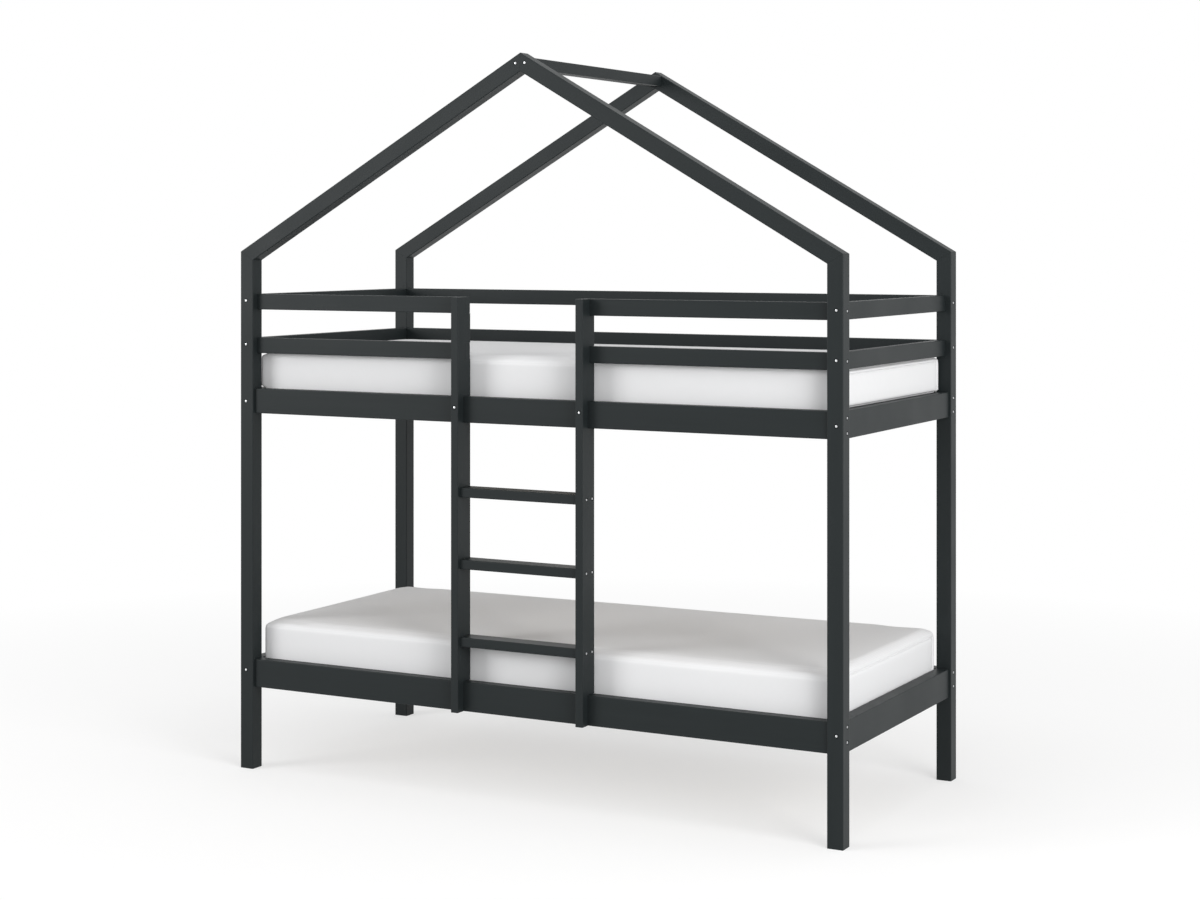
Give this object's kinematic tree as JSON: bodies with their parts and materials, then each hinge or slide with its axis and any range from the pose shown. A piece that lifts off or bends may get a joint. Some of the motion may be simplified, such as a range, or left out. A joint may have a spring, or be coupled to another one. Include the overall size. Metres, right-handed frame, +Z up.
{
  "type": "house bunk bed",
  "caption": "Bunk bed with an open gabled roof frame over square posts, a notched front ladder, guard rails round the upper bunk, slatted bases and mattresses.",
  "frame": {"origin": "on the floor, at the middle of the bed's bounding box, ladder included", "axes": "+Z up, +X along the bed towards the right-hand end as seen from the ladder side, +Y from the ladder side to the back"},
  "size_m": [2, 0.9344, 2.1748],
  "materials": {
    "frame_paint": "wood painted satin anthracite",
    "slat_pine": "planed bare pine",
    "mattress_ticking": "smooth white knitted cover",
    "bolt_steel": "zinc-plated steel"
  },
  "bodies": {
    "root": {"post_front_left": "frame_paint", "post_front_right": "frame_paint", "post_back_left": "frame_paint", "post_back_right": "frame_paint", "rafter_front_left": "frame_paint", "rafter_front_right": "frame_paint", "rafter_back_left": "frame_paint", "rafter_back_right": "frame_paint", "ridge_beam": "frame_paint", "side_rail_lower_front": "frame_paint", "side_rail_lower_back": "frame_paint", "side_rail_upper_front": "frame_paint", "side_rail_upper_back": "frame_paint", "end_rail_lower_left": "frame_paint", "end_rail_lower_right": "frame_paint", "end_rail_upper_left": "frame_paint", "end_rail_upper_right": "frame_paint", "guard_rail_mid_front_left": "frame_paint", "guard_rail_mid_front_right": "frame_paint", "guard_rail_mid_back": "frame_paint", "guard_rail_mid_end_left": "frame_paint", "guard_rail_mid_end_right": "frame_paint", "guard_rail_top_front_left": "frame_paint", "guard_rail_top_front_right": "frame_paint", "guard_rail_top_back": "frame_paint", "guard_rail_top_end_left": "frame_paint", "guard_rail_top_end_right": "frame_paint", "ladder_upright_left": "frame_paint", "ladder_upright_right": "frame_paint", "ladder_rung_top": "frame_paint", "ladder_rung_middle": "frame_paint", "ladder_rung_bottom": "frame_paint", "slat_cleat_lower_front": "frame_paint", "slat_cleat_lower_back": "frame_paint", "slat_cleat_upper_front": "frame_paint", "slat_cleat_upper_back": "frame_paint", "slat_lower_01": "slat_pine", "slat_lower_02": "slat_pine", "slat_lower_03": "slat_pine", "slat_lower_04": "slat_pine", "slat_lower_05": "slat_pine", "slat_lower_06": "slat_pine", "slat_lower_07": "slat_pine", "slat_lower_08": "slat_pine", "slat_lower_09": "slat_pine", "slat_lower_10": "slat_pine", "slat_lower_11": "slat_pine", "slat_upper_01": "slat_pine", "slat_upper_02": "slat_pine", "slat_upper_03": "slat_pine", "slat_upper_04": "slat_pine", "slat_upper_05": "slat_pine", "slat_upper_06": "slat_pine", "slat_upper_07": "slat_pine", "slat_upper_08": "slat_pine", "slat_upper_09": "slat_pine", "slat_upper_10": "slat_pine", "slat_upper_11": "slat_pine", "mattress_lower": "mattress_ticking", "mattress_upper": "mattress_ticking"}
  },
  "joints": []
}
